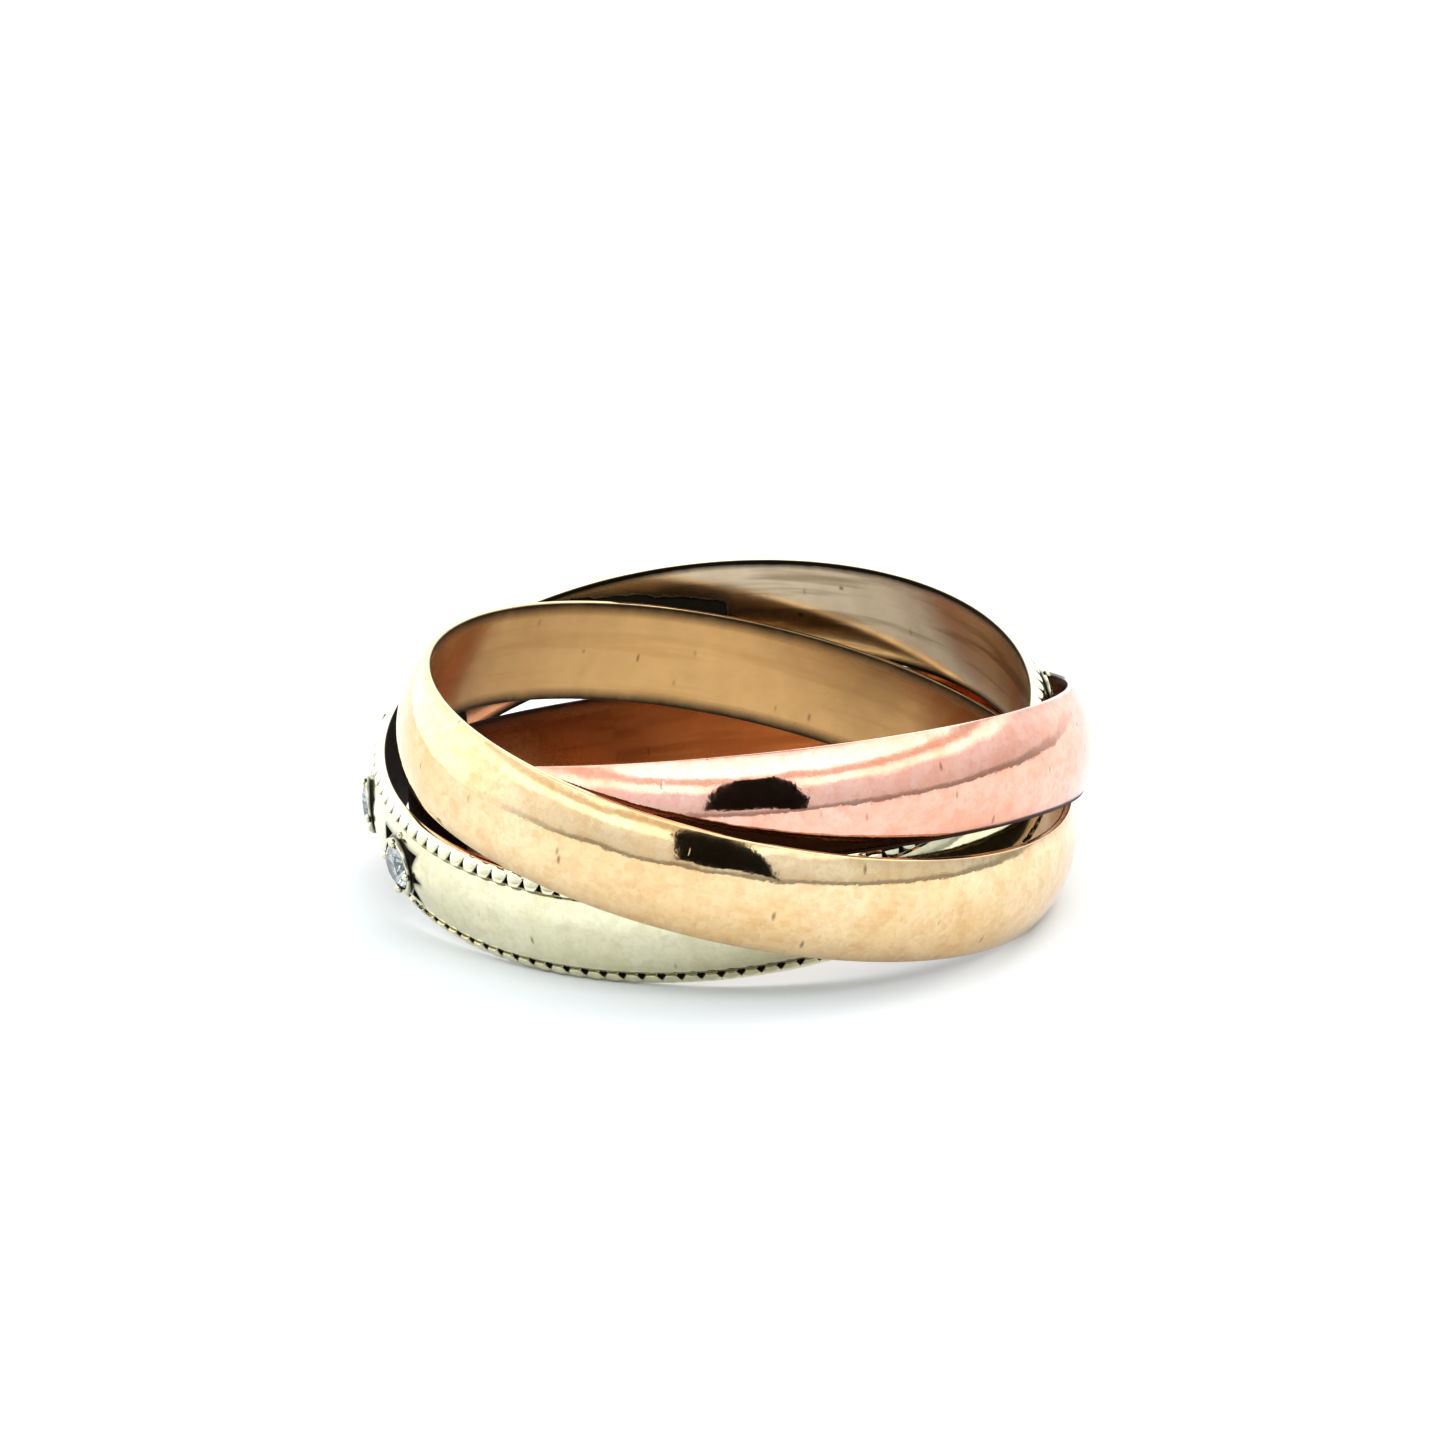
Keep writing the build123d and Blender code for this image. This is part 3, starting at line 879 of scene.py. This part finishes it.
class Nodes:
    """Fills a node tree. Values and vectors are sockets, or plain numbers that are set as they are."""

    def __init__(self, tree):
        self.tree = tree
        tree.nodes.clear()

    def add(self, kind, values=None, **settings):
        """A node, with values for its inputs by name or number."""
        node = self.tree.nodes.new(kind)
        for key, value in settings.items():
            setattr(node, key, value)
        for key, value in (values or {}).items():
            if isinstance(value, bpy.types.NodeSocket):
                self.tree.links.new(value, node.inputs[key])
            else:
                node.inputs[key].default_value = value
        return node

    def math(self, operation, first, second=0.0, clamp=False):
        """The outcome of one operation on two values."""
        node = self.add("ShaderNodeMath", {0: first, 1: second}, operation=operation)
        node.use_clamp = clamp
        return node.outputs[0]

    def vector(self, operation, first, second):
        """The outcome of one operation on two vectors."""
        return self.add("ShaderNodeVectorMath", {0: first, 1: second}, operation=operation).outputs[0]

    def attribute(self, name):
        """What the mesh says at a point under a name."""
        return self.add("ShaderNodeAttribute", attribute_name=name).outputs

    def cells(self, vector, scale):
        """Random cells: distance from the nearest cell's middle, and two random shares of the cell."""
        cells = self.add("ShaderNodeTexVoronoi", {"Vector": vector, "Scale": scale}).outputs
        shares = self.add("ShaderNodeSeparateColor", {0: cells["Color"]}).outputs
        return cells["Distance"], shares[0], shares[1]

    def noise(self, vector, scale, detail, rough):
        """A cloudy texture, mostly between 0.3 and 0.7."""
        values = {"Vector": vector, "Scale": scale, "Detail": detail, "Roughness": rough}
        return self.add("ShaderNodeTexNoise", values).outputs["Fac"]

    def span(self, value, low, high, to_low=0.0, to_high=1.0):
        """The value moved from one range to another, and kept inside the second."""
        values = {0: value, 1: low, 2: high, 3: to_low, 4: to_high}
        return self.add("ShaderNodeMapRange", values).outputs[0]

    def mix(self, share, first, second):
        """A colour between two others."""
        return self.add("ShaderNodeMix", {0: share, 6: first, 7: second}, data_type="RGBA").outputs[2]

    def layered(self, tone, layers):
        """The tone under layers. Each is a value, the range where it shows, its most and its tone."""
        for value, low, high, most, other in layers:
            tone = self.mix(self.span(value, low, high, 0.0, most), tone, other)
        return tone


def new_material(name):
    """A material with no nodes, and what fills it."""
    material = bpy.data.materials.new(name)
    material.use_nodes = True
    return material, Nodes(material.node_tree)


def new_object(name, points, faces, material):
    """A plain mesh object in the scene."""
    mesh = bpy.data.meshes.new(name)
    mesh.from_pydata(points, [], faces)
    mesh.materials.append(material)
    made = bpy.data.objects.new(name, mesh)
    bpy.context.scene.collection.objects.link(made)
    return made


def painted_shade_at(n, around, height, patchy, start, end, bottom, top, rise):
    """Share of a patch of painted shade at a place round the bore and across it. Its end is soft, its
    top ragged.
    """
    starts = n.span(around, start * MM, (start + SHADE_PATCH_EDGE) * MM)
    ends = n.span(around, end * MM, (end - SHADE_PATCH_END_FADE) * MM)
    level = n.math("SUBTRACT", height, n.math("MULTIPLY", around, rise))
    ragged = n.math("MULTIPLY", n.math("SUBTRACT", patchy, 0.5), SHADE_PATCH_RAGGED * MM)
    level = n.math("ADD", level, ragged)
    below = n.span(level, (top + SHADE_PATCH_EDGE) * MM, (top - 0.6 * SHADE_PATCH_EDGE) * MM)
    above = n.span(height, (bottom - SHADE_PATCH_EDGE) * MM, (bottom + SHADE_PATCH_EDGE) * MM)
    return n.math("MULTIPLY", n.math("MULTIPLY", starts, ends), n.math("MULTIPLY", below, above))


def gold(name, colour, pale, deep, shaded_inner, tarnish, streaks, grime_shade_colour,
         roughness, satin_rough, seed, shade_patches=()):
    """Worn polished gold: broad mottling, fine wear lines along and across the band, nicks and small
    pits, shallow dents, a warmer satin bore darkened with painted shade, dirt with painted shade
    where the mesh says, and patches of painted shade in a bore."""
    material, n = new_material(name)
    place = n.attribute("band_place")["Vector"]
    split = n.add("ShaderNodeSeparateXYZ", {0: place}).outputs
    around = n.math("MULTIPLY", n.math("ARCTAN2", split[1], split[0]), MIDDLE_RADIUS * MM)
    moved = n.vector("ADD", place, (seed, 2 * seed, 3 * seed))
    unrolled = n.add("ShaderNodeCombineXYZ", {0: around, 1: split[2], 2: seed}).outputs[0]
    within = n.attribute("inside")["Fac"]

    broad = n.noise(moved, BROAD_SCALE, 3.0, 0.6)
    patchy = n.noise(moved, PATCH_SCALE, 4.0, 0.65)
    grain = n.noise(moved, GRAIN_SCALE, 2.0, 0.6)
    dents = n.noise(moved, DENT_SCALE, 0.6, 0.5)
    across_lines = n.noise(n.vector("MULTIPLY", unrolled, ACROSS_SCALE), 1.0, 3.0, 0.6)
    along_lines = n.noise(n.vector("MULTIPLY", unrolled, ALONG_SCALE), 1.0, 3.0, 0.6)
    streaky = n.noise(n.vector("MULTIPLY", unrolled, STREAK_SCALE), 1.0, 3.0, 0.6)
    bend = n.add("ShaderNodeCombineXYZ", {0: n.math("MULTIPLY", patchy, PATCH_BEND),
                                          1: n.math("MULTIPLY", grain, GRAIN_BEND),
                                          2: n.math("MULTIPLY", patchy, -PATCH_BEND)}).outputs[0]
    cell_distance, cell_deep, cell_pale = n.cells(n.vector("ADD", moved, bend), CELL_SCALE)

    slanted = n.add("ShaderNodeMapping", {"Vector": unrolled, "Rotation": (0, 0, NICK_SLANT),
                                          "Scale": NICK_SCALE}).outputs[0]
    nick_distance, nick_share, _ = n.cells(slanted, 1.0)
    nicks = n.math("MULTIPLY", n.span(nick_distance, *NICK_EDGE), n.span(nick_share, *NICK_SHARE))
    pit_distance, pit_share, _ = n.cells(moved, PIT_SCALE)
    pits = n.math("MULTIPLY", n.span(pit_distance, *PIT_EDGE), n.span(pit_share, *PIT_SHARE))
    marks = n.math("MAXIMUM", nicks, pits)

    # Dirt and painted shade from the mesh, patchy
    dirt_and_shade = n.math("MULTIPLY", n.attribute("grime_and_shade")["Fac"], n.span(patchy, *DIRT_SHADE_PATCH), clamp=True)
    # Nearly black patches of painted shade and painted dark reflection in the bore
    for shade_patch in shade_patches:
        dark = n.math("MULTIPLY", painted_shade_at(n, around, split[2], patchy, **shade_patch), within)
        dirt_and_shade = n.math("MAXIMUM", dirt_and_shade, dark)

    polished = n.layered(colour, [(broad, 0.35, 0.65, 1.0, pale),
                                  (patchy, 0.50, 0.68, 0.55, deep),
                                  (grain, 0.45, 0.65, 0.35, deep),
                                  (along_lines, 0.52, 0.70, 0.30, pale),
                                  (cell_deep, *CELL_TONE, CELL_MOST, deep),
                                  (cell_pale, *CELL_TONE, CELL_MOST, pale)])
    # The bore's satin tone: the gold darkened with painted shade, with blotches and tarnish streaks
    shaded_satin = n.layered(shaded_inner, [(patchy, *PATCH_RANGE, 0.12, grime_shade_colour),
                              (streaky, 0.50, 0.60, streaks, tarnish)])
    tone = n.mix(within, polished, shaded_satin)
    # Dirt and painted shade darken the tone
    tone = n.mix(n.span(dirt_and_shade, *DIRT_SHADE_TONE), tone, grime_shade_colour)
    tone = n.mix(n.math("MULTIPLY", marks, MARK_DARKNESS), tone, grime_shade_colour)

    shine = n.span(patchy, *PATCH_RANGE, *[roughness * share for share in ROUGH_SHARES])
    shine = n.math("ADD", shine, n.math("MULTIPLY", within, satin_rough))
    shine = n.math("ADD", shine, n.math("MULTIPLY", dirt_and_shade, DIRT_SHADE_ROUGH), clamp=True)
    height = n.math("MULTIPLY", grain, GRAIN_BUMP)
    for value, weight in ((cell_distance, CELL_BUMP), (across_lines, LINE_BUMP),
                          (along_lines, LINE_BUMP), (dents, DENT_BUMP), (marks, MARK_BUMP)):
        height = n.math("ADD", height, n.math("MULTIPLY", value, weight))
    height = n.math("MULTIPLY", height, n.span(within, 0.0, 1.0, 1.0, BORE_BUMP))
    bump = n.add("ShaderNodeBump", {"Strength": BUMP_STRENGTH, "Distance": BUMP_DISTANCE,
                                    "Height": height}).outputs[0]
    shader = n.add("ShaderNodeBsdfPrincipled", {"Base Color": tone, "Roughness": shine, "Normal": bump,
                                                "Specular IOR Level": SPECULAR_LEVEL,
                                                "Metallic": n.span(dirt_and_shade, *DIRT_SHADE_DULL, 1.0, 0.0)})
    n.add("ShaderNodeOutputMaterial", {0: shader.outputs[0]})
    return material


def diamond():
    """Clear cut stone with a breath of dust on its facets."""
    material, n = new_material("cut_diamond")
    place = n.add("ShaderNodeTexCoord").outputs["Object"]
    haze = n.noise(place, DUST_SCALE, 3.0, 0.6)
    tone = n.mix(n.span(haze, *DUST_TONE), DIAMOND_CLEAR, DIAMOND_DUSTY)
    shine = n.span(haze, *DUST_ROUGH)
    shader = n.add("ShaderNodeBsdfPrincipled", {"Base Color": tone, "Roughness": shine,
                                                "IOR": DIAMOND_INDEX, "Transmission Weight": 1.0})
    n.add("ShaderNodeOutputMaterial", {0: shader.outputs[0]})
    return material


def pale_floor():
    """A plain pale floor."""
    material, n = new_material("pale_floor")
    shader = n.add("ShaderNodeBsdfPrincipled", {"Base Color": FLOOR_COLOUR, "Roughness": FLOOR_ROUGH,
                                                "Specular IOR Level": SPECULAR_LEVEL})
    n.add("ShaderNodeOutputMaterial", {0: shader.outputs[0]})
    corners = [(FLOOR_HALF * x, FLOOR_HALF * y, 0) for x, y in ((-1, -1), (1, -1), (1, 1), (-1, 1))]
    floor = new_object("floor", corners, [[0, 1, 2, 3]], material)


def dark_card():
    """A dark studio card beside the camera, which only shows as a reflection."""
    material, n = new_material("dark_card")
    shader = n.add("ShaderNodeBsdfDiffuse", {"Color": CARD_COLOUR})
    n.add("ShaderNodeOutputMaterial", {0: shader.outputs[0]})
    points = []
    for azimuth, elevation in CARD_OUTLINE:
        level = CARD_DISTANCE * cos(radians(elevation))
        points.append((level * cos(radians(azimuth)), level * sin(radians(azimuth)),
                       CARD_HEIGHT + CARD_DISTANCE * sin(radians(elevation))))
    card = new_object("dark_card", points, [list(range(len(points)))], material)
    card.visible_camera = False
    card.visible_diffuse = False
    card.visible_shadow = False


def studio_world():
    """Soft light from all round: in front grey with brighter bands higher up, and pale behind."""
    world = bpy.data.worlds.new("studio")
    world.use_nodes = True
    n = Nodes(world.node_tree)
    direction = n.add("ShaderNodeTexCoord").outputs["Generated"]
    split = n.add("ShaderNodeSeparateXYZ", {0: direction}).outputs
    height = n.math("DIVIDE", n.math("ARCSINE", split[2]), pi / 2)
    ramps = []
    for stops in (FRONT_LIGHT, BACK_LIGHT):
        ramp = n.add("ShaderNodeValToRGB", {0: height})
        elements = ramp.color_ramp.elements
        while len(elements) < len(stops):
            elements.new(0.5)
        for element, (elevation, colour) in zip(elements, stops):
            element.position = elevation / 90
            element.color = [c / WORLD_SCALE for c in colour] + [1]
        ramps.append(ramp.outputs[0])
    back = n.math("SUBTRACT", split[1], n.math("MULTIPLY", split[0], BACK_TURN))
    behind = n.math("POWER", n.span(back, BACK_STARTS, BACK_FULL), 2.0)
    light = n.mix(behind, ramps[0], ramps[1])
    shine = n.add("ShaderNodeBackground", {0: light, 1: WORLD_SCALE})
    n.add("ShaderNodeOutputWorld", {0: shine.outputs[0]})
    bpy.context.scene.world = world


def key_light():
    """One large soft lamp, high and to the right, behind the ring."""
    data = bpy.data.lights.new("key", "AREA")
    data.shape = "DISK"
    data.size = KEY_SIZE
    data.energy = KEY_ENERGY
    data.color = KEY_COLOUR
    lamp = bpy.data.objects.new("key", data)
    bpy.context.scene.collection.objects.link(lamp)
    lamp.location = KEY_PLACE
    lamp.rotation_euler = (Vector((0, 0, 0)) - Vector(KEY_PLACE)).to_track_quat("-Z", "Y").to_euler()


def camera():
    """The photograph's view."""
    data = bpy.data.cameras.new("camera")
    data.sensor_width = CAMERA_SENSOR
    data.lens = CAMERA_LENS
    data.clip_start = 0.01
    data.clip_end = 10
    made = bpy.data.objects.new("camera", data)
    bpy.context.scene.collection.objects.link(made)
    forward = Vector(CAMERA_FORWARD).normalized()
    up = Vector(CAMERA_UP)
    up = (up - forward * up.dot(forward)).normalized()
    right = forward.cross(up)
    matrix = Matrix((right, up, -forward)).transposed().to_4x4()
    matrix.translation = Vector(CAMERA_PLACE)
    made.matrix_world = matrix
    bpy.context.scene.camera = made


yellow = plain_band("yellow_band_turned", "yellow_band", gold("yellow_gold_worn", **YELLOW))
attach(yellow, "yellow")
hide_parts("yellow_band")

rose = plain_band("rose_band_turned", "rose_band", gold("rose_gold_worn", **ROSE))
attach(rose, "rose")
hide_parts("rose_band")

white = white_band(gold("white_gold_worn", **WHITE))
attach(white, "white")
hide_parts("white_band")

stone_look = diamond()
for node_name, node in frame["nodes"].items():
    if node_name.startswith("diamond"):
        for slot in node.material_slots:
            slot.material = stone_look

pale_floor()
dark_card()
studio_world()
key_light()
camera()
bpy.context.scene.view_settings.view_transform = "Standard"
